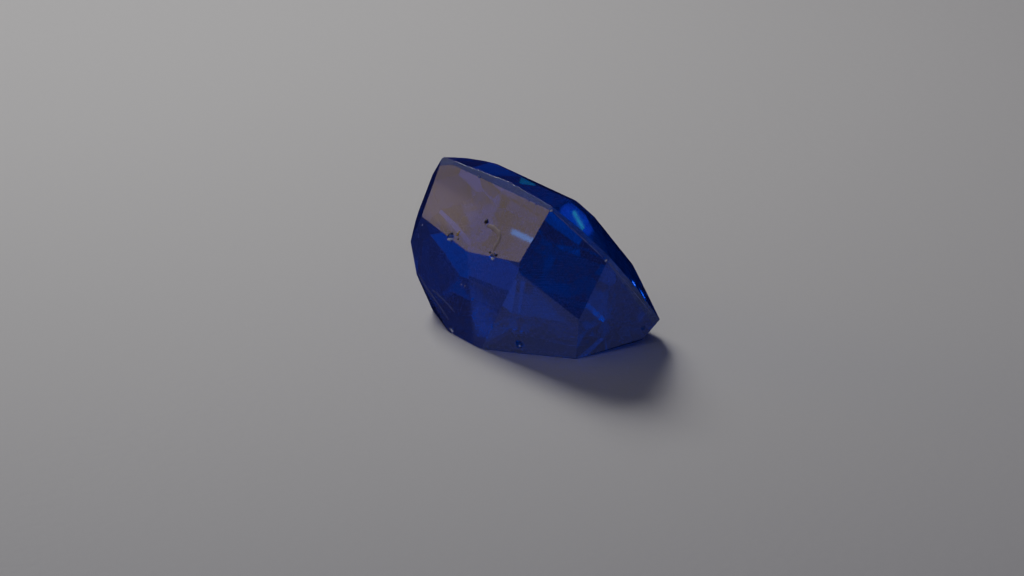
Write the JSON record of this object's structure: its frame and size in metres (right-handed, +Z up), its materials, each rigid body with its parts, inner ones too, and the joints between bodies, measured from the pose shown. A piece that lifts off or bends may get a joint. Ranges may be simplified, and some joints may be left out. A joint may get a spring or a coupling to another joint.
{
  "type": "ceylon sapphire",
  "caption": "Loose blue sapphire, a long cushion cut with a faceted crown and a stepped pavilion, lying on its side on one lower facet.",
  "frame": {"origin": "centre of the bounding box on the surface that the stone lies on", "axes": "+Z up from that surface; -Y is the side where the long upper pavilion facet and the girdle show; the keel and the girdle's long side run along the horizontal line turned 56 degrees clockwise from +X, seen from above"},
  "size_m": [0.0084, 0.0088, 0.0053],
  "materials": {
    "blue_corundum": "polished, see-through"
  },
  "bodies": {
    "root": {"sapphire": "blue_corundum"}
  },
  "joints": []
}
